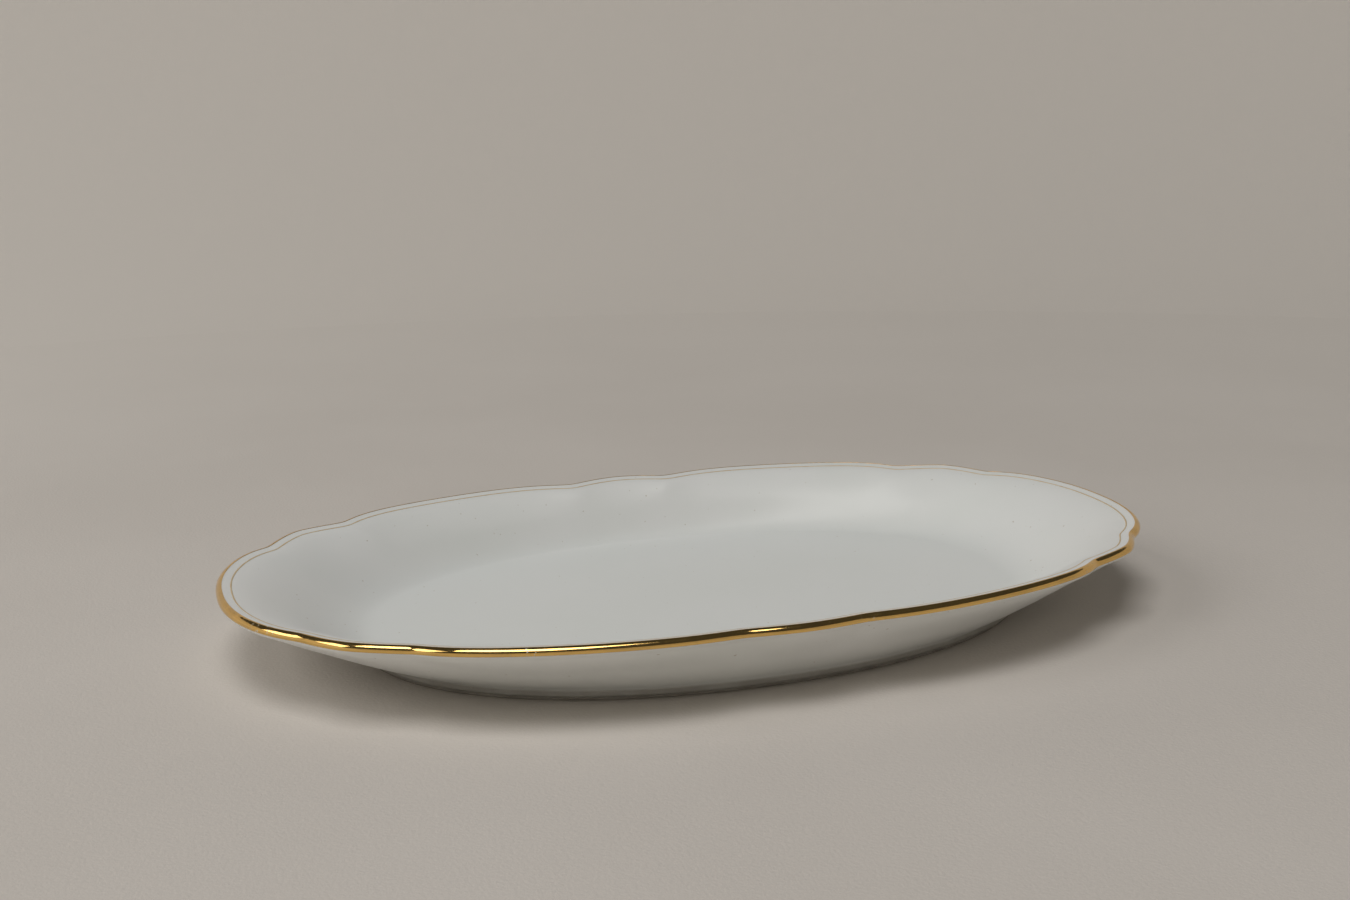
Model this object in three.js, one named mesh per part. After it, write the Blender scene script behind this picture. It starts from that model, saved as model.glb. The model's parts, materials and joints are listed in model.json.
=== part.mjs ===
// Oval china serving platter with a scalloped rim, a foot ring, a gilt edge band and a gilt hairline.
// Millimetres, +Z up, origin on the table under the middle of the foot ring, +X along the long axis.
//
// The platter is built in the order of the factory: a biscuit-fired porcelain body, a glaze coat that
// covers everything but the sole of the foot, and two lines of gold on top of the glaze.

import * as THREE from 'three';

// ---- outline of the rim: a slightly squared ellipse carrying twelve scallops ----
const RIM_HALF_LENGTH = 158; // to the line of the notches
const RIM_HALF_WIDTH = 96.4;
const RIM_SQUARENESS = 2.26; // exponent of the superellipse: 2 is an ellipse, more is squarer
const NOTCH_SOFTNESS = 3.2; // millimetres over which a notch is rounded off
const SCALLOP_LIFT = 0.2; // how far the edge climbs for each millimetre that a scallop stands out
const END_NOTCH = 28.7; // superellipse angles of the notches in one quadrant, in degrees
const CORNER_NOTCH = 47.4;
const SIDE_NOTCH = 84.65;
const END_SCALLOP = { rise: 2, power: 8, steps: 8 }; // a high power gives a flat-topped scallop
const CORNER_SCALLOP = { rise: 2.6, power: 1.4, steps: 5 };
const SIDE_SCALLOP = { rise: 3.3, power: 4.5, steps: 7 };
const MIDDLE_SCALLOP = { rise: 2.7, power: 1.6, steps: 4 };

// ---- heights above the table ----
const RIM_HEIGHT = 25.9; // top of the lip in a notch
const WELL_HEIGHT = 6.0;
const FOOT_HEIGHT = 4.0;
const RECESS_HEIGHT = 2.6;
const GLAZE_STOP_HEIGHT = 1.0; // the glaze is wiped off the foot below this

// ---- flat well, foot ring and recess: slightly squared ellipses with the same centre ----
const WELL_HALF_LENGTH = 112;
const WELL_HALF_WIDTH = 74;
const FOOT_HALF_LENGTH = 117.2;
const FOOT_HALF_WIDTH = 78.2;
const FOOT_SQUARENESS = 2.1;
const FOOT_WIDTH = 5.4;
const FOOT_OUTER_TAPER = 1.8; // how far the foot's outside leans in, from its root to its sole
const FOOT_INNER_TAPER = 0.8;
const SOLE_ROUND = 0.3;
const RECESS_CORNER = 1.2;

// ---- the lip and the wall ----
const LIP_RADIUS = 1.7; // half the thickness of the glazed lip
const LIP_STEPS = 5;
const SHELF_INSET = 6.5; // the gently sloping shelf inside the lip ends here
const SHELF_SLOPE = 0.24;
const BEAD_INSET = 2.9; // underside of the lip, before it turns down into the wall
const BEAD_DROP = 3.6;
const WALL_TOP_INSET = 4.4;
const WALL_TOP_DROP = 5.0;
const INNER_WALL_STEPS = 6;
const OUTER_WALL_STEPS = 4;
const OUTER_TOP_STEEPNESS = 1.2; // the outer wall's slopes at its two ends, over its mean slope
const OUTER_FOOT_STEEPNESS = 0.7;
const SCALLOP_FADE = 0.45; // share of the wall, from its top, over which the scallops die away

// ---- layers ----
const GLAZE_THICKNESS = 0.3;
const LAYER_GAP = 0.2;
const GILT_THICKNESS = 0.2;
const HAIRLINE_INSET = 4.5;
const HAIRLINE_WIDTH = 0.5;
const BAND_INSET = 1.9; // where the gilt band starts on the top of the lip
const BAND_LOWEST = -12; // degrees round the lip, where the band stops, just under the nose

// ---- superellipses ----

// The point of a superellipse at an angle, in degrees, and its outward normal there.
function superellipse(halfLength, halfWidth, squareness, degrees) {
  const angle = THREE.MathUtils.degToRad(degrees);
  const signedPower = (value, power) => Math.sign(value) * Math.abs(value) ** power;
  const reach = 2 / squareness;
  const point = new THREE.Vector2(
    halfLength * signedPower(Math.cos(angle), reach),
    halfWidth * signedPower(Math.sin(angle), reach),
  );
  const normal = new THREE.Vector2(
    signedPower(Math.cos(angle), 2 - reach) / halfLength,
    signedPower(Math.sin(angle), 2 - reach) / halfWidth,
  ).normalize();
  return { point, normal };
}

function rimBase(degrees) {
  return superellipse(RIM_HALF_LENGTH, RIM_HALF_WIDTH, RIM_SQUARENESS, degrees);
}

// ---- one turn of stations round the outline ----

// The scallops of half a turn, from the end of the platter round to the far end.
function scallopsOfHalfTurn() {
  return [
    { from: -END_NOTCH, to: END_NOTCH, ...END_SCALLOP },
    { from: END_NOTCH, to: CORNER_NOTCH, ...CORNER_SCALLOP },
    { from: CORNER_NOTCH, to: SIDE_NOTCH, ...SIDE_SCALLOP },
    { from: SIDE_NOTCH, to: 180 - SIDE_NOTCH, ...MIDDLE_SCALLOP },
    { from: 180 - SIDE_NOTCH, to: 180 - CORNER_NOTCH, ...SIDE_SCALLOP },
    { from: 180 - CORNER_NOTCH, to: 180 - END_NOTCH, ...CORNER_SCALLOP },
  ];
}

// How far a scallop stands out; along runs from -1 to 1 between its notches, which are rounded off.
function standOut(scallop, along) {
  const span = rimBase(scallop.from).point.distanceTo(rimBase(scallop.to).point);
  const softness = NOTCH_SOFTNESS / (span / 2);
  const rounded = (fromNotch) => Math.hypot(fromNotch, softness) - softness;
  const toCrown = rounded(1 - Math.abs(along)) / rounded(1);
  return scallop.rise * (1 - (1 - toCrown) ** scallop.power);
}

// Each station has its angle and the scallop's rise there. Stations crowd towards the notches.
function outlineStations() {
  const stations = [];
  for (const halfTurn of [0, 180]) {
    for (const scallop of scallopsOfHalfTurn()) {
      const middle = (scallop.from + scallop.to) / 2;
      const half = (scallop.to - scallop.from) / 2;
      for (let k = 0; k < scallop.steps; k++) {
        const along = Math.sin((Math.PI / 2) * ((2 * k) / scallop.steps - 1));
        stations.push({ degrees: halfTurn + middle + half * along, rise: standOut(scallop, along) });
      }
    }
  }
  return stations;
}

const STATIONS = outlineStations();

// ---- rings of points, one point for each station ----

// A ring that follows the rim: moved in from the edge by inset, at a height over the notches' lip.
// Share is how much of the scallops is left in it.
function rimRing(inset, height, share = 1) {
  return STATIONS.map(({ degrees, rise }) => {
    const { point, normal } = rimBase(degrees);
    point.addScaledVector(normal, rise * share - inset);
    return new THREE.Vector3(point.x, point.y, RIM_HEIGHT + height + SCALLOP_LIFT * rise * share);
  });
}

function plainRing(halfLength, halfWidth, z) {
  return STATIONS.map(({ degrees }) => {
    const { point } = superellipse(halfLength, halfWidth, FOOT_SQUARENESS, degrees);
    return new THREE.Vector3(point.x, point.y, z);
  });
}

// A ring round the lip's nose: 90 degrees is its top, 0 its outermost line and -90 its underside.
function lipRing(degrees) {
  const turn = THREE.MathUtils.degToRad(degrees);
  return rimRing(LIP_RADIUS * (1 - Math.cos(turn)), LIP_RADIUS * (Math.sin(turn) - 1));
}

function shelfRing(inset) {
  return rimRing(inset, -SHELF_SLOPE * (inset - LIP_RADIUS));
}

// A height that falls from one value to another; startFall and endFall are its falls per whole run
// at the two ends, as in a cubic Hermite curve.
function smoothFall(high, low, startFall, endFall, down) {
  const ease = down * down * (3 - 2 * down);
  const start = down * (1 - down) ** 2 * startFall;
  const end = down * down * (1 - down) * endFall;
  return high + (low - high) * ease - start + end;
}

// Rings down a wall, from the rim at an inset and a height to a plain ring. Falls gives the two end
// falls from the wall's width and drop. The scallops die away down the wall.
function wallRings(inset, height, below, steps, falls) {
  const plainTop = rimRing(inset, height, 0);
  const rings = [];
  for (let k = 1; k < steps; k++) {
    const down = k / steps;
    const share = 1 - THREE.MathUtils.smoothstep(down, 0, SCALLOP_FADE);
    rings.push(
      rimRing(inset, height, share).map((scalloped, i) => {
        const top = plainTop[i];
        const point = new THREE.Vector3().lerpVectors(top, below[i], down);
        const width = Math.hypot(below[i].x - top.x, below[i].y - top.y);
        const [startFall, endFall] = falls(width, top.z - below[i].z);
        point.z = smoothFall(top.z, below[i].z, startFall, endFall, down);
        return point.add(scalloped).sub(top);
      }),
    );
  }
  return rings;
}

// ---- the glazed surface, as rings from the middle of the well, over the lip, to the foot ----

function pole(z) {
  return [new THREE.Vector3(0, 0, z)];
}

function footOuterRing(z) {
  const taper = (FOOT_OUTER_TAPER * (FOOT_HEIGHT - z)) / FOOT_HEIGHT;
  return plainRing(FOOT_HALF_LENGTH - taper, FOOT_HALF_WIDTH - taper, z);
}

function footInnerRing(z) {
  const inset = FOOT_WIDTH - (FOOT_INNER_TAPER * (FOOT_HEIGHT - z)) / FOOT_HEIGHT;
  return plainRing(FOOT_HALF_LENGTH - inset, FOOT_HALF_WIDTH - inset, z);
}

// From the edge of the flat well up to the shelf: level at the well, as steep as the shelf at the top.
function innerWallRings(wellEdge) {
  const shelfDrop = SHELF_SLOPE * (SHELF_INSET - LIP_RADIUS);
  const falls = (width) => [SHELF_SLOPE * width, 0];
  return wallRings(SHELF_INSET, -shelfDrop, wellEdge, INNER_WALL_STEPS, falls).reverse();
}

function outerWallRings(footRoot) {
  const falls = (width, drop) => [OUTER_TOP_STEEPNESS * drop, OUTER_FOOT_STEEPNESS * drop];
  return wallRings(WALL_TOP_INSET, -WALL_TOP_DROP, footRoot, OUTER_WALL_STEPS, falls);
}

function lipRings(lowest) {
  const rings = [];
  for (let k = 0; k <= LIP_STEPS; k++) {
    rings.push(lipRing(90 + ((lowest - 90) * k) / LIP_STEPS));
  }
  return rings;
}

function coatRings() {
  const wellEdge = plainRing(WELL_HALF_LENGTH, WELL_HALF_WIDTH, WELL_HEIGHT);
  const footRoot = footOuterRing(FOOT_HEIGHT);
  return [
    pole(WELL_HEIGHT),
    wellEdge,
    ...innerWallRings(wellEdge),
    shelfRing(SHELF_INSET),
    ...lipRings(-90),
    rimRing(BEAD_INSET, -BEAD_DROP),
    rimRing(WALL_TOP_INSET, -WALL_TOP_DROP),
    ...outerWallRings(footRoot),
    footRoot,
    footOuterRing(GLAZE_STOP_HEIGHT),
  ];
}

// The glazed surface under the platter, as rings from inside the foot to the middle of the recess.
function recessRings() {
  const wallHeight = RECESS_HEIGHT - SOLE_ROUND;
  const cornerInset = FOOT_WIDTH + RECESS_CORNER;
  return [
    footInnerRing(GLAZE_STOP_HEIGHT),
    footInnerRing(wallHeight),
    plainRing(FOOT_HALF_LENGTH - cornerInset, FOOT_HALF_WIDTH - cornerInset, RECESS_HEIGHT),
    pole(RECESS_HEIGHT),
  ];
}

// The bare sole of the foot, between the two glazed surfaces.
function soleRings() {
  const bareTop = GLAZE_STOP_HEIGHT - LAYER_GAP;
  const outer = footOuterRing(0);
  const inner = footInnerRing(0);
  const roundShare = SOLE_ROUND / (FOOT_WIDTH - FOOT_OUTER_TAPER - FOOT_INNER_TAPER);
  const inward = (share) => outer.map((point, i) => point.clone().lerp(inner[i], share));
  return [
    footOuterRing(bareTop),
    footOuterRing(SOLE_ROUND),
    inward(roundShare),
    inward(1 - roundShare),
    footInnerRing(SOLE_ROUND),
    footInnerRing(bareTop),
  ];
}

// ---- offsets and solids ----

// The direction of a line through three neighbouring points, at the middle one.
function throughDirection(before, point, after) {
  const leaving = new THREE.Vector3().subVectors(after, point).normalize();
  const arriving = new THREE.Vector3().subVectors(point, before).normalize();
  return leaving.add(arriving);
}

// The outward direction at one point of a run of rings; a pole looks straight up or down.
function outwardNormal(rings, i, j) {
  const ring = rings[i];
  if (ring.length === 1) {
    return new THREE.Vector3(0, 0, i === 0 ? 1 : -1);
  }
  const before = rings[Math.max(i - 1, 0)];
  const after = rings[Math.min(i + 1, rings.length - 1)];
  const across = throughDirection(before[j % before.length], ring[j], after[j % after.length]);
  const count = ring.length;
  const around = throughDirection(ring[(j + count - 1) % count], ring[j], ring[(j + 1) % count]);
  return across.cross(around).normalize();
}

// The same rings moved along their outward directions; a negative distance moves them inwards.
function offsetRings(rings, distance) {
  return rings.map((ring, i) =>
    ring.map((point, j) => point.clone().addScaledVector(outwardNormal(rings, i, j), distance)),
  );
}

// Triangles between two neighbouring rings, either of which may be a single pole.
function joinRings(first, second, triangles) {
  const count = Math.max(first.length, second.length);
  for (let j = 0; j < count; j++) {
    const next = (j + 1) % count;
    if (second.length > 1) {
      triangles.push(first[j % first.length], second[j], second[next]);
    }
    if (first.length > 1) {
      triangles.push(first[j], second[next % second.length], first[next]);
    }
  }
}

// Triangles over a run of rings, each ring joined to the next.
function sheet(rings) {
  const triangles = [];
  for (let i = 0; i + 1 < rings.length; i++) {
    joinRings(rings[i], rings[i + 1], triangles);
  }
  return triangles;
}

// A skin of even thickness under a run of rings. Its lower sheet is like the upper one turned inside
// out, so their facets match. It is closed at each end that isn't a pole.
function skin(rings, thickness) {
  const under = offsetRings(rings, -thickness);
  const triangles = [...sheet(rings), ...sheet(under).reverse()];
  const last = rings.length - 1;
  if (rings[0].length > 1) {
    joinRings(under[0], rings[0], triangles);
  }
  if (rings[last].length > 1) {
    joinRings(rings[last], under[last], triangles);
  }
  return new THREE.BufferGeometry().setFromPoints(triangles);
}

// ---- the pieces ----

function piece(name, geometry, color, roughness, metalness) {
  geometry.computeVertexNormals();
  const material = new THREE.MeshStandardMaterial({ color, roughness, metalness });
  const mesh = new THREE.Mesh(geometry, material);
  mesh.name = name;
  return mesh;
}

// The biscuit body: the glazed shape less the glaze, with the foot's bare sole at full size.
function porcelainBody() {
  const underGlaze = -(GLAZE_THICKNESS + LAYER_GAP);
  const rings = [
    ...offsetRings(coatRings(), underGlaze),
    ...soleRings(),
    ...offsetRings(recessRings(), underGlaze),
  ];
  const geometry = new THREE.BufferGeometry().setFromPoints(sheet(rings));
  return piece('porcelain_body', geometry, 0xe9e4da, 0.75, 0);
}

function glazeCoat() {
  return piece('glaze_coat', skin(coatRings(), GLAZE_THICKNESS), 0xdfe3de, 0.12, 0);
}

function recessGlaze() {
  return piece('recess_glaze', skin(recessRings(), GLAZE_THICKNESS), 0xdfe3de, 0.12, 0);
}

// The broad band of burnished gold, wrapped over the lip from its top to just under its nose.
function giltEdgeBand() {
  const rings = offsetRings([shelfRing(BAND_INSET), ...lipRings(BAND_LOWEST)], LAYER_GAP + GILT_THICKNESS);
  return piece('gilt_edge_band', skin(rings, GILT_THICKNESS), 0xb98a3c, 0.18, 1);
}

// The fine gold line that runs parallel to the edge, on the shelf.
function giltHairline() {
  const rings = [shelfRing(HAIRLINE_INSET + HAIRLINE_WIDTH), shelfRing(HAIRLINE_INSET)];
  const proud = offsetRings(rings, LAYER_GAP + GILT_THICKNESS);
  return piece('gilt_hairline', skin(proud, GILT_THICKNESS), 0xb98a3c, 0.25, 1);
}

const platter = new THREE.Group();
platter.name = 'serving_platter';
platter.add(porcelainBody());
platter.add(glazeCoat());
platter.add(recessGlaze());
platter.add(giltEdgeBand());
platter.add(giltHairline());

export default platter;
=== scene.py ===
"""Glazed oval china platter with a gilt edge band and a fine gilt line, on a plain warm grey sweep.

Every piece is built from rings: closed loops of points that run round the platter. A run of rings
goes from the middle of the well, over the lip and down to the foot. Metres throughout.
"""
import json
import math

import bpy
import numpy as np
from mathutils import Matrix, Vector


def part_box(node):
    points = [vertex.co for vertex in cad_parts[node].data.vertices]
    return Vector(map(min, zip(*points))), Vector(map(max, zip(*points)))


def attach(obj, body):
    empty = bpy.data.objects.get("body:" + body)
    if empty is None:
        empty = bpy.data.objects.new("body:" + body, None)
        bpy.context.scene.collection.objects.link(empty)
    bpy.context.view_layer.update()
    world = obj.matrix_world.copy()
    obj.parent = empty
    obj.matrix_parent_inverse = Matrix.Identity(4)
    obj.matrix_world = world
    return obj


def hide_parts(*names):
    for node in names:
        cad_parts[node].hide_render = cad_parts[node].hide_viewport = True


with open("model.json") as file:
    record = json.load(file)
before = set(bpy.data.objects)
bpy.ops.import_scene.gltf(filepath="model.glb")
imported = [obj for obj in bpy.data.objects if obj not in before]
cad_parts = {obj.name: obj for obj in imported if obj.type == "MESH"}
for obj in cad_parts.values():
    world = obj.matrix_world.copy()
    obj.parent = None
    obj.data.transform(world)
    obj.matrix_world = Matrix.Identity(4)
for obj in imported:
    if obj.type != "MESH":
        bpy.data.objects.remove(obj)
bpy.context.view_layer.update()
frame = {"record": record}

MM = 0.001

# ---- shape: the outline of the rim ----
RIM_SQUARENESS = 2.26  # exponent of the superellipse: 2 is an ellipse, more is squarer
NOTCH_SOFTNESS = 3.2 * MM  # length over which a notch is rounded off
SCALLOP_LIFT = 0.2  # how far the edge climbs for each unit that a scallop stands out
END_NOTCH, CORNER_NOTCH, SIDE_NOTCH = 28.7, 47.4, 84.65  # superellipse angles, in degrees
# each scallop: how far it stands out, and a power that is higher for a flatter top
END_SCALLOP = (2.0 * MM, 8)
CORNER_SCALLOP = (2.6 * MM, 1.4)
SIDE_SCALLOP = (3.3 * MM, 4.5)
MIDDLE_SCALLOP = (2.7 * MM, 1.6)

# ---- shape: sizes that the frame holds are read from it ----
GILT_PROUD = 0.4 * MM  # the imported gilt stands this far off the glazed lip
recess_low, recess_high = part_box("recess_glaze")
_, band_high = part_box("gilt_edge_band")
mount_at = {m["name"]: m["pos_m"] for m in frame["record"]["mounts"]}

RIM_HALF_LENGTH = band_high.x - GILT_PROUD - END_SCALLOP[0]
RIM_HALF_WIDTH = band_high.y - GILT_PROUD - MIDDLE_SCALLOP[0]
RIM_HEIGHT = band_high.z - GILT_PROUD - SCALLOP_LIFT * SIDE_SCALLOP[0]
WELL_HEIGHT = mount_at["well_floor"][2]
RECESS_HEIGHT = recess_high.z
GLAZE_STOP_HEIGHT = recess_low.z

# ---- shape: the other sizes are those of the part's source ----
WELL_HALF_LENGTH, WELL_HALF_WIDTH = 112 * MM, 74 * MM
FOOT_HALF_LENGTH, FOOT_HALF_WIDTH = 117.2 * MM, 78.2 * MM
FOOT_SQUARENESS = 2.1
FOOT_HEIGHT = 4.0 * MM
FOOT_WIDTH = 5.4 * MM
FOOT_OUTER_TAPER, FOOT_INNER_TAPER = 1.8 * MM, 0.8 * MM
SOLE_ROUND = 0.3 * MM
RECESS_CORNER = 1.2 * MM

LIP_RADIUS = 1.7 * MM
SHELF_INSET = 6.5 * MM
SHELF_SLOPE = 0.24
WALL_TOP_INSET = 4.4 * MM
WALL_TOP_DROP = 5.0 * MM
OUTER_TOP_STEEPNESS, OUTER_FOOT_STEEPNESS = 1.2, 0.7
SCALLOP_FADE = 0.45  # share of the wall, from its top, over which the scallops die away
HAIRLINE_INSET, HAIRLINE_WIDTH = 4.5 * MM, 0.5 * MM
BAND_INSET = 1.9 * MM
BAND_LOWEST = -12  # degrees round the lip, where the band stops, just under the nose
GLAZE_THICKNESS = 0.3 * MM

# ---- shape: where the picture is finer than the part's source ----
KNEE_BEFORE_WALL = 1.2 * MM  # the underside of the lip curves down into the wall round this knee
LAYER_GAP = 0.05 * MM
UNDER_GLAZE = GLAZE_THICKNESS + LAYER_GAP
BAND_PROUD, LINE_PROUD, GILT_THICKNESS = 0.08 * MM, 0.05 * MM, 0.04 * MM

# ---- how finely each stretch is divided ----
STATIONS_PER_DEGREE, LEAST_STATIONS = 0.8, 16
FLAT_RINGS, SHELF_RINGS, LIP_RINGS, UNDER_LIP_RINGS = 11, 7, 17, 7
INNER_WALL_STEPS, OUTER_WALL_STEPS = 24, 16
FOOT_RINGS, SOLE_RINGS = 4, 5
BAND_SHELF_RINGS, BAND_LIP_RINGS = 3, 18


# ---- the outline: stations round the rim, crowded towards the notches ----
def signed_power(value, power):
    return np.sign(value) * np.abs(value) ** power


def eased(share):
    """Runs from 0 to 1 like the share, with level ends."""
    return share * share * (3 - 2 * share)


def superellipse(half_length, half_width, squareness, degrees):
    """Points of a superellipse and its outward normals there."""
    c, s = np.cos(np.radians(degrees)), np.sin(np.radians(degrees))
    half_axes = np.array([half_length, half_width])
    reach = 2 / squareness
    point = half_axes * np.stack([signed_power(c, reach), signed_power(s, reach)], -1)
    normal = np.stack([signed_power(c, 2 - reach), signed_power(s, 2 - reach)], -1) / half_axes
    return point, normal / np.linalg.norm(normal, axis=-1, keepdims=True)


def rim_base(degrees):
    return superellipse(RIM_HALF_LENGTH, RIM_HALF_WIDTH, RIM_SQUARENESS, degrees)


def stand_out(low, high, scallop, along):
    """How far a scallop stands out, at points that run from -1 to 1 between its rounded notches."""
    rise, power = scallop
    span = np.linalg.norm(rim_base(low)[0] - rim_base(high)[0])
    softness = NOTCH_SOFTNESS / (span / 2)
    climb = np.hypot(1 - np.abs(along), softness) - softness
    to_crown = climb / (math.hypot(1, softness) - softness)
    return rise * (1 - (1 - to_crown) ** power)


def outline_stations():
    """Superellipse angles all round the rim, and how far a scallop stands out at each."""
    half_turn = [
        (-END_NOTCH, END_NOTCH, END_SCALLOP),
        (END_NOTCH, CORNER_NOTCH, CORNER_SCALLOP),
        (CORNER_NOTCH, SIDE_NOTCH, SIDE_SCALLOP),
        (SIDE_NOTCH, 180 - SIDE_NOTCH, MIDDLE_SCALLOP),
        (180 - SIDE_NOTCH, 180 - CORNER_NOTCH, SIDE_SCALLOP),
        (180 - CORNER_NOTCH, 180 - END_NOTCH, CORNER_SCALLOP),
    ]
    degrees, rises = [], []
    for start in (0, 180):
        for low, high, scallop in half_turn:
            steps = 2 * round((high - low) * STATIONS_PER_DEGREE / 2) + LEAST_STATIONS
            along = np.sin(np.pi / 2 * (2 * np.arange(steps) / steps - 1))
            degrees.append(start + (low + high) / 2 + (high - low) / 2 * along)
            rises.append(stand_out(low, high, scallop, along))
    return np.concatenate(degrees), np.concatenate(rises)


DEGREES, RISE = outline_stations()
COUNT = len(DEGREES)
RIM_POINT, RIM_NORMAL = rim_base(DEGREES)


# ---- rings ----
def rim_ring(inset, height, share=1.0):
    """A ring that follows the rim; share is how much of the scallops is left in it."""
    flat = RIM_POINT + (RISE * share - inset)[:, None] * RIM_NORMAL
    return np.column_stack([flat, RIM_HEIGHT + height + SCALLOP_LIFT * RISE * share])


def plain_ring(half_length, half_width, z):
    point, _ = superellipse(half_length, half_width, FOOT_SQUARENESS, DEGREES)
    return np.column_stack([point, np.full(COUNT, z)])


def lip_ring(degrees, proud=0.0):
    """A ring round the lip's nose: 90 is its top, 0 its outermost line and -90 its underside."""
    turn = math.radians(degrees)
    reach = LIP_RADIUS + proud
    return rim_ring(LIP_RADIUS - reach * math.cos(turn), reach * math.sin(turn) - LIP_RADIUS)


def shelf_ring(inset, proud=0.0):
    """A ring on the sloping shelf between the lip and the inner wall."""
    return rim_ring(inset, proud - SHELF_SLOPE * (inset - LIP_RADIUS))


def smooth_fall(high, low, start_fall, end_fall, down):
    """A height part of the way down from high to low, on a curve with the given end slopes."""
    start = down * (1 - down) ** 2 * start_fall
    end = down * down * (1 - down) * end_fall
    return high + (low - high) * eased(down) - start + end


def wall_rings(inset, height, below, steps, falls):
    """Rings down a wall from the rim to a plain ring.

    falls gives the slopes at the wall's two ends, as the drops they would make over all of it.
    """
    plain_top = rim_ring(inset, height, 0.0)
    width = np.linalg.norm((below - plain_top)[:, :2], axis=1)
    start_fall, end_fall = falls(width, plain_top[:, 2] - below[:, 2])
    rings = []
    for down in np.arange(1, steps) / steps:
        share = 1 - eased(min(down / SCALLOP_FADE, 1))
        ring = plain_top + (below - plain_top) * down
        ring[:, 2] = smooth_fall(plain_top[:, 2], below[:, 2], start_fall, end_fall, down)
        rings.append(ring + rim_ring(inset, height, share) - plain_top)
    return rings


def inner_falls(width, drop):
    """The inner wall leaves the shelf at the shelf's slope and meets the well level."""
    return SHELF_SLOPE * width, 0


def outer_falls(width, drop):
    return OUTER_TOP_STEEPNESS * drop, OUTER_FOOT_STEEPNESS * drop


def foot_outer(z):
    taper = FOOT_OUTER_TAPER * (FOOT_HEIGHT - z) / FOOT_HEIGHT
    return plain_ring(FOOT_HALF_LENGTH - taper, FOOT_HALF_WIDTH - taper, z)


def foot_inner(z):
    inset = FOOT_WIDTH - FOOT_INNER_TAPER * (FOOT_HEIGHT - z) / FOOT_HEIGHT
    return plain_ring(FOOT_HALF_LENGTH - inset, FOOT_HALF_WIDTH - inset, z)


def under_lip_rings():
    """From the underside of the lip, curving down into the top of the outer wall."""
    start = np.array([LIP_RADIUS, -2 * LIP_RADIUS])
    end = np.array([WALL_TOP_INSET, -WALL_TOP_DROP])
    knee = np.array([WALL_TOP_INSET - KNEE_BEFORE_WALL, -2 * LIP_RADIUS])
    rings = []
    for t in np.linspace(0, 1, UNDER_LIP_RINGS)[1:]:
        inset, height = (1 - t) ** 2 * start + 2 * t * (1 - t) * knee + t * t * end
        rings.append(rim_ring(inset, height))
    return rings


def coat_rings():
    """The glazed surface, from the middle of the well over the lip to where the foot goes bare."""
    well = [
        plain_ring(WELL_HALF_LENGTH * s, WELL_HALF_WIDTH * s, WELL_HEIGHT)
        for s in np.linspace(0, 1, FLAT_RINGS)[1:]
    ]
    shelf_drop = SHELF_SLOPE * (SHELF_INSET - LIP_RADIUS)
    inner_wall = wall_rings(SHELF_INSET, -shelf_drop, well[-1], INNER_WALL_STEPS, inner_falls)
    shelf = [shelf_ring(i) for i in np.linspace(SHELF_INSET, LIP_RADIUS, SHELF_RINGS)[:-1]]
    lip = [lip_ring(a) for a in np.linspace(90, -90, LIP_RINGS)]
    foot_root = foot_outer(FOOT_HEIGHT)
    outer_wall = wall_rings(
        WALL_TOP_INSET, -WALL_TOP_DROP, foot_root, OUTER_WALL_STEPS, outer_falls,
    )
    foot = [foot_outer(z) for z in np.linspace(FOOT_HEIGHT, GLAZE_STOP_HEIGHT, FOOT_RINGS)]
    return [*well, *inner_wall[::-1], *shelf, *lip, *under_lip_rings(), *outer_wall, *foot]


def recess_rings():
    """The glazed surface under the platter, from inside the foot to the middle of the recess."""
    wall_top = RECESS_HEIGHT - SOLE_ROUND
    wall = [foot_inner(z) for z in np.linspace(GLAZE_STOP_HEIGHT, wall_top, FOOT_RINGS)]
    corner = FOOT_WIDTH + RECESS_CORNER
    floor = [
        plain_ring((FOOT_HALF_LENGTH - corner) * s, (FOOT_HALF_WIDTH - corner) * s, RECESS_HEIGHT)
        for s in np.linspace(1, 0, FLAT_RINGS)[:-1]
    ]
    return [*wall, *floor]


def sole_rings():
    """The bare sole of the foot, between the glazed surfaces, with a small round on each side."""
    bare_top = GLAZE_STOP_HEIGHT - LAYER_GAP
    outer, inner = foot_outer(0), foot_inner(0)
    edge = SOLE_ROUND / (FOOT_WIDTH - FOOT_OUTER_TAPER - FOOT_INNER_TAPER)
    across = [outer + (inner - outer) * s for s in np.linspace(edge, 1 - edge, SOLE_RINGS)]
    round_low, round_lift = SOLE_ROUND / 4, (0, 0, SOLE_ROUND / 16)
    soft_outer = (foot_outer(round_low) + across[0]) / 2 + round_lift
    soft_inner = (foot_inner(round_low) + across[-1]) / 2 + round_lift
    return [
        foot_outer(bare_top), foot_outer(SOLE_ROUND), soft_outer, *across,
        soft_inner, foot_inner(SOLE_ROUND), foot_inner(bare_top),
    ]


# ---- meshes from runs of rings ----
def unit(vectors):
    return vectors / np.linalg.norm(vectors, axis=2, keepdims=True)


def offset(rings, distance):
    """The same rings, moved along the surface's outward directions."""
    grid = np.array(rings)
    steps = unit(np.diff(grid, axis=0))
    across = np.concatenate([steps[:1], steps[:-1] + steps[1:], steps[-1:]])
    leaving = unit(np.roll(grid, -1, axis=1) - grid)
    around = leaving + np.roll(leaving, 1, axis=1)
    return list(grid + distance * unit(np.cross(across, around)))


def linked_object(name, data):
    obj = bpy.data.objects.new(name, data)
    bpy.context.scene.collection.objects.link(obj)
    return obj


def mesh_object(name, verts, faces):
    mesh = bpy.data.meshes.new(name)
    mesh.from_pydata(verts, [], faces)
    mesh.shade_smooth()
    mesh.update()
    return linked_object(name, mesh)


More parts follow.
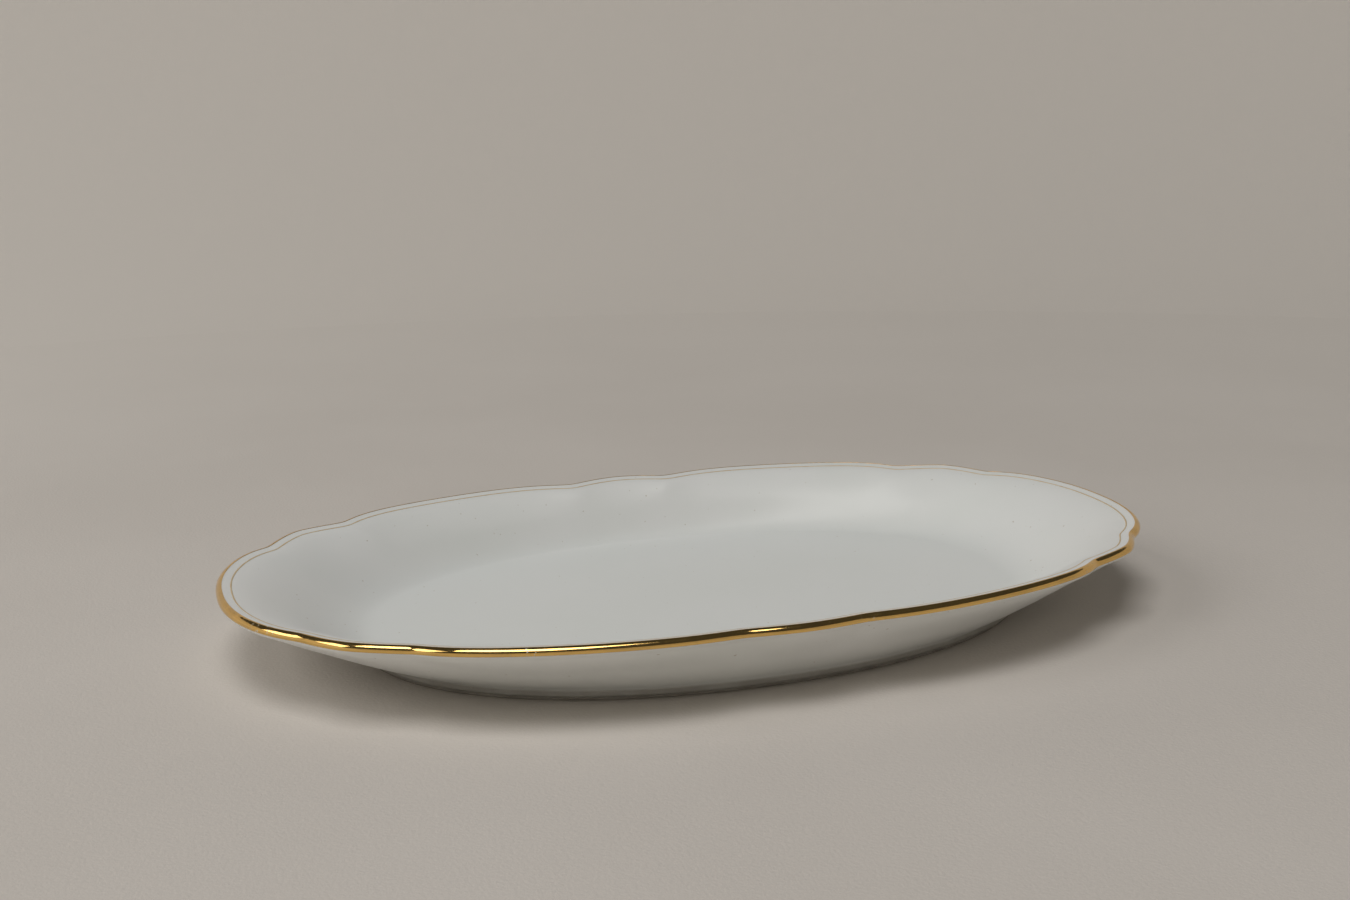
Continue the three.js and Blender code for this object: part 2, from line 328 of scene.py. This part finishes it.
def mesh_from_rings(name, rings, start_pole=None, end_pole=None):
    """A closed mesh: a height on the axis closes each end, or else the run closes on itself."""
    verts = np.concatenate(rings).tolist()
    rows, j = len(rings), np.arange(COUNT)
    after = (j + 1) % COUNT
    faces = []
    for i in range(rows if start_pole is None else rows - 1):
        a, b = i * COUNT, (i + 1) % rows * COUNT
        faces += np.column_stack([a + j, b + j, b + after, a + after]).tolist()
    if start_pole is not None:
        last = (rows - 1) * COUNT
        start, end = np.full(COUNT, len(verts)), np.full(COUNT, len(verts) + 1)
        faces += np.column_stack([start, j, after]).tolist()
        faces += np.column_stack([end, last + after, last + j]).tolist()
        verts += [(0, 0, start_pole), (0, 0, end_pole)]
    return mesh_object(name, verts, faces)


def place(obj, material, node):
    """Shows an object with a material, in place of a node of the part."""
    obj.data.materials.append(material)
    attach(obj, "root")
    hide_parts(node)


# ---- materials ----
class Nodes:
    """A small helper to write a node material as plain lines."""

    def __init__(self, name):
        self.material = bpy.data.materials.new(name)
        self.material.use_nodes = True
        self.tree = self.material.node_tree
        self.shader = self.tree.nodes["Principled BSDF"]
        self.position = self.add("ShaderNodeTexCoord").outputs["Object"]

    def add(self, kind, **settings):
        node = self.tree.nodes.new(kind)
        for key, value in settings.items():
            setattr(node, key, value)
        return node

    def link(self, source, socket):
        self.tree.links.new(source, socket)

    def noise(self, size, detail, roughness=0.5):
        """Noise whose features are about size metres across."""
        node = self.add("ShaderNodeTexNoise")
        node.inputs["Scale"].default_value = 1 / size
        node.inputs["Detail"].default_value = detail
        node.inputs["Roughness"].default_value = roughness
        self.link(self.position, node.inputs["Vector"])
        return node.outputs["Fac"]

    def ramp(self, source, low, high, out_low=0.0, out_high=1.0):
        """Maps low..high to out_low..out_high, clamped and eased."""
        node = self.add("ShaderNodeMapRange", interpolation_type="SMOOTHSTEP")
        limits = {"From Min": low, "From Max": high, "To Min": out_low, "To Max": out_high}
        for key, value in limits.items():
            node.inputs[key].default_value = value
        self.link(source, node.inputs["Value"])
        return node.outputs["Result"]

    def math(self, operation, a, b):
        node = self.add("ShaderNodeMath", operation=operation)
        for socket, value in zip(node.inputs, (a, b)):
            if isinstance(value, (int, float)):
                socket.default_value = value
            else:
                self.link(value, socket)
        return node.outputs["Value"]

    def mix(self, factor, first, second):
        node = self.add("ShaderNodeMix", data_type="RGBA")
        self.link(factor, node.inputs["Factor"])
        for socket, value in ((node.inputs["A"], first), (node.inputs["B"], second)):
            if isinstance(value, tuple):
                socket.default_value = (*value, 1)
            else:
                self.link(value, socket)
        return node.outputs["Result"]

    def height(self):
        separate = self.add("ShaderNodeSeparateXYZ")
        self.link(self.position, separate.inputs["Vector"])
        return separate.outputs["Z"]

    def distance(self):
        """How far a point is from the object's origin."""
        length = self.add("ShaderNodeVectorMath", operation="LENGTH")
        self.link(self.position, length.inputs["Vector"])
        return length.outputs["Value"]

    def bump(self, source, depth, normal=None):
        """A bump whose full range is depth metres."""
        node = self.add("ShaderNodeBump")
        node.inputs["Strength"].default_value = 1
        node.inputs["Distance"].default_value = depth
        self.link(source, node.inputs["Height"])
        if normal is not None:
            self.link(normal, node.inputs["Normal"])
        return node.outputs["Normal"]

    def set(self, **values):
        """Sets the shader's inputs to numbers, colours or the outputs of other nodes."""
        for key, value in values.items():
            socket = self.shader.inputs[key.replace("_", " ")]
            if isinstance(value, (int, float)):
                socket.default_value = value
            elif isinstance(value, tuple):
                socket.default_value = (*value, 1)
            else:
                self.link(value, socket)


def glazed_porcelain(name, foot_shade):
    """Cool white glaze over porcelain: faint clouding, a tint low down, pinholes, and painted shade
    that darkens the foot.
    """
    base, milky, pooled_tint = (0.84, 0.86, 0.83), (0.875, 0.885, 0.865), (0.83, 0.86, 0.835)
    painted_shade_color, pinhole_color = (0.42, 0.405, 0.365), (0.62, 0.59, 0.52)
    n = Nodes(name)
    cloud = n.ramp(n.noise(60 * MM, 4), 0.3, 0.7)
    color = n.mix(cloud, base, milky)
    pooled = n.ramp(n.height(), 5 * MM, 12 * MM, 0.5, 0.0)
    color = n.mix(pooled, color, pooled_tint)
    # painted shade: below 4.3 mm the glaze is darkened towards grey, mottled by noise, for the
    # shade at the foot
    foot_shade_mask = n.ramp(n.height(), 3.0 * MM, 4.3 * MM, foot_shade, 0.0)
    painted_foot_shade = n.math("MULTIPLY", foot_shade_mask, n.ramp(n.noise(9 * MM, 4), 0.3, 0.6, 0.8, 1.0))
    color = n.mix(painted_foot_shade, color, painted_shade_color)
    pinhole = n.ramp(n.noise(1.2 * MM, 0), 0.85, 0.87)
    color = n.mix(pinhole, color, pinhole_color)
    roughness = n.ramp(n.noise(40 * MM, 3), 0.3, 0.7, 0.3, 0.35)
    waves = n.bump(n.noise(25 * MM, 1), 0.02 * MM)
    peel = n.bump(n.noise(1.6 * MM, 2), 0.003 * MM, waves)
    n.set(
        Base_Color=color, Roughness=roughness, Normal=peel, IOR=1.5, Specular_IOR_Level=0.35,
    )
    return n.material


def bare_porcelain():
    """The unglazed sole: matt, granular, dark grey-brown, rubbed paler where it stands."""
    sole_grey_brown, sole_deeper_grey_brown, rubbed_color = (0.36, 0.34, 0.3), (0.27, 0.25, 0.21), (0.5, 0.47, 0.42)
    n = Nodes("bare_porcelain")
    grain = n.noise(0.5 * MM, 4, 0.7)
    color = n.mix(n.ramp(n.noise(7 * MM, 4), 0.35, 0.68), sole_grey_brown, sole_deeper_grey_brown)
    rubbed = n.ramp(n.height(), 0.0, 0.2 * MM, 0.7, 0.0)
    color = n.mix(rubbed, color, rubbed_color)
    n.set(
        Base_Color=color,
        Roughness=n.ramp(grain, 0.3, 0.7, 0.62, 0.85),
        Normal=n.bump(grain, 0.05 * MM),
    )
    return n.material


def burnished_gold():
    """Burnished gold: brush-laid waviness, dulled patches, and worn specks that show the glaze."""
    hue, glaze_color = (0.95, 0.61, 0.2), (0.74, 0.75, 0.7)
    deeper = tuple(0.86 * channel for channel in hue)
    n = Nodes("burnished_gold")
    tone = n.ramp(n.noise(9 * MM, 4), 0.3, 0.7)
    color = n.mix(tone, hue, deeper)
    specks = n.ramp(n.noise(1.1 * MM, 3, 0.6), 0.62, 0.68)
    patches = n.ramp(n.noise(24 * MM, 2), 0.52, 0.66)
    worn = n.math("MULTIPLY", specks, patches)
    color = n.mix(worn, color, glaze_color)
    dull = n.ramp(n.noise(3.5 * MM, 4, 0.65), 0.35, 0.75, 0.07, 0.18)
    waves = n.bump(n.noise(5 * MM, 2), 0.05 * MM)
    brushed = n.bump(n.noise(0.6 * MM, 3), 0.004 * MM, waves)
    n.set(Base_Color=color, Roughness=dull, Metallic=n.math("SUBTRACT", 1, worn), Normal=brushed)
    return n.material


def hairline_gold():
    """The thin line: one brushed coat, matt, uneven in strength, so the glaze shows through."""
    faint, strong, bare = (0.78, 0.65, 0.44), (0.74, 0.54, 0.28), (0.8, 0.77, 0.68)
    n = Nodes("hairline_gold")
    strength = n.ramp(n.noise(5 * MM, 4, 0.6), 0.3, 0.7)
    color = n.mix(strength, faint, strong)
    color = n.mix(n.ramp(n.noise(0.8 * MM, 2), 0.6, 0.72), color, bare)
    n.set(
        Base_Color=color,
        Roughness=n.ramp(strength, 0.0, 1.0, 0.5, 0.38),
        Metallic=0.25,
        Normal=n.bump(n.noise(0.5 * MM, 2), 0.006 * MM),
    )
    return n.material


def sweep_cloth():
    """Plain warm grey cloth, with the faintest grain, painted a little paler far from the platter
    as light that makes up for the lamps' falloff.
    """
    shaded, lit, painted_far_light = (0.685, 0.64, 0.588), (0.715, 0.67, 0.618), (0.825, 0.778, 0.716)
    n = Nodes("sweep_cloth")
    color = n.mix(n.ramp(n.noise(180 * MM, 3), 0.3, 0.7), shaded, lit)
    # painted light: the cloth grows paler with distance from the middle, to even out the lamps'
    # falloff on the far backdrop
    color = n.mix(n.ramp(n.distance(), 0.2, 0.95), color, painted_far_light)
    n.set(
        Base_Color=color,
        Roughness=0.95,
        Normal=n.bump(n.noise(1.2 * MM, 2), 0.15 * MM),
        Specular_IOR_Level=0.1,
    )
    return n.material


# ---- the pieces ----
coat, recess = coat_rings(), recess_rings()

place(
    mesh_from_rings(
        "glazed_surface", [*coat, *offset(coat, -GLAZE_THICKNESS)[::-1]],
        WELL_HEIGHT, WELL_HEIGHT - GLAZE_THICKNESS,
    ),
    # the last argument is the strength of the painted shade on the foot
    glazed_porcelain("glazed_porcelain", 0.9), "glaze_coat",
)
place(
    mesh_from_rings(
        "glazed_recess", [*offset(recess, -GLAZE_THICKNESS)[::-1], *recess],
        RECESS_HEIGHT + GLAZE_THICKNESS, RECESS_HEIGHT,
    ),
    # the last argument is the strength of the painted shade low down, kept weak under the platter
    glazed_porcelain("recess_porcelain", 0.1), "recess_glaze",
)

place(
    mesh_from_rings(
        "porcelain_body_and_foot",
        [*offset(coat, -UNDER_GLAZE), *sole_rings(), *offset(recess, -UNDER_GLAZE)],
        WELL_HEIGHT - UNDER_GLAZE, RECESS_HEIGHT + UNDER_GLAZE,
    ),
    bare_porcelain(), "porcelain_body",
)

band_insets = np.linspace(BAND_INSET, LIP_RADIUS, BAND_SHELF_RINGS)[:-1]
band = [shelf_ring(i, BAND_PROUD) for i in band_insets]
band += [lip_ring(a, BAND_PROUD) for a in np.linspace(90, BAND_LOWEST, BAND_LIP_RINGS)]
place(
    mesh_from_rings("gilt_band", [*band, *offset(band, -GILT_THICKNESS)[::-1]]),
    burnished_gold(), "gilt_edge_band",
)

line = [shelf_ring(HAIRLINE_INSET + HAIRLINE_WIDTH * s, LINE_PROUD) for s in (1, 0.5, 0)]
place(
    mesh_from_rings("gilt_line", [*line, *offset(line, -GILT_THICKNESS)[::-1]]),
    hairline_gold(), "gilt_hairline",
)


# ---- stage ----
SWEEP_X, SWEEP_Y = -0.14, -0.43  # nearer the camera than the platter, so the back stands closer
SWEEP_STEPS, BEND_RINGS = 96, 16
FLOOR_RADII = (0.0001, 0.6, 1.2)  # from a pinhole in the middle to where the sweep bends up
BEND_RADIUS = 1.0
WORLD_COLOR, WORLD_STRENGTH = (0.95, 0.98, 1.0, 1), 0.05
SOFTBOX_COLOR = (1, 0.985, 0.97)


def turned(name, profile, material):
    """A surface of revolution about the sweep's centre, through (radius, height) points."""
    turns = np.linspace(0, 2 * math.pi, SWEEP_STEPS + 1)
    verts = [
        (SWEEP_X + r * math.cos(t), SWEEP_Y + r * math.sin(t), z)
        for r, z in profile
        for t in turns
    ]
    row = SWEEP_STEPS + 1
    faces = [
        (i * row + k, (i + 1) * row + k, (i + 1) * row + k + 1, i * row + k + 1)
        for i in range(len(profile) - 1)
        for k in range(SWEEP_STEPS)
    ]
    obj = mesh_object(name, verts, faces)
    obj.data.materials.append(material)


cloth = sweep_cloth()
turned("floor", [(radius, 0) for radius in FLOOR_RADII], cloth)
bend = [
    (FLOOR_RADII[-1] + BEND_RADIUS * math.sin(t), BEND_RADIUS * (1 - math.cos(t)))
    for t in np.linspace(0, math.pi / 2, BEND_RINGS)
]
turned("backdrop", bend, cloth)

world = bpy.data.worlds.new("studio")
bpy.context.scene.world = world
world.use_nodes = True
background = world.node_tree.nodes["Background"]
background.inputs["Color"].default_value = WORLD_COLOR
background.inputs["Strength"].default_value = WORLD_STRENGTH


def softbox(name, azimuth, elevation, distance, size, power):
    """A rectangular light that faces the origin from a direction in degrees."""
    light = bpy.data.lights.new(name, "AREA")
    light.shape = "RECTANGLE"
    light.size, light.size_y = size
    light.energy = power
    light.color = SOFTBOX_COLOR
    obj = linked_object(name, light)
    a, e = math.radians(azimuth), math.radians(elevation)
    away = Vector((math.cos(a) * math.cos(e), math.sin(a) * math.cos(e), math.sin(e)))
    obj.location = away * distance
    obj.rotation_euler = away.to_track_quat("Z", "Y").to_euler()


softbox("overhead", azimuth=229, elevation=70, distance=2.4, size=(1.35, 1.3), power=22.5)
softbox("window", azimuth=178, elevation=36, distance=2.6, size=(1.6, 1.2), power=15)

# ---- camera ----
HEADING, PITCH, ROLL = math.radians(18.55), math.radians(12.66), math.radians(-1.17)
CAMERA_DISTANCE = 0.7058
# where the platter's middle lies from the aimed point, as the camera sees it
MIDDLE_RIGHT_OF_AIM, MIDDLE_BEYOND_AIM = 7.0 * MM, -141.2 * MM
SENSOR_WIDTH, FOCAL_OVER_WIDTH = 36, 1.2252

camera_data = bpy.data.cameras.new("camera")
camera_data.sensor_width = SENSOR_WIDTH
camera_data.lens = FOCAL_OVER_WIDTH * SENSOR_WIDTH
camera = linked_object("camera", camera_data)
bpy.context.scene.camera = camera
cos_h, sin_h = math.cos(HEADING), math.sin(HEADING)
forward = Vector((sin_h * math.cos(PITCH), cos_h * math.cos(PITCH), -math.sin(PITCH)))
aim = Vector((
    -MIDDLE_RIGHT_OF_AIM * cos_h - MIDDLE_BEYOND_AIM * sin_h,
    MIDDLE_RIGHT_OF_AIM * sin_h - MIDDLE_BEYOND_AIM * cos_h,
    RIM_HEIGHT,
))
roll = Matrix.Rotation(ROLL, 3, "Z").to_quaternion()
camera.location = aim - forward * CAMERA_DISTANCE
camera.rotation_mode = "QUATERNION"
camera.rotation_quaternion = forward.to_track_quat("-Z", "Y") @ roll

bpy.context.scene.view_settings.view_transform = "Standard"
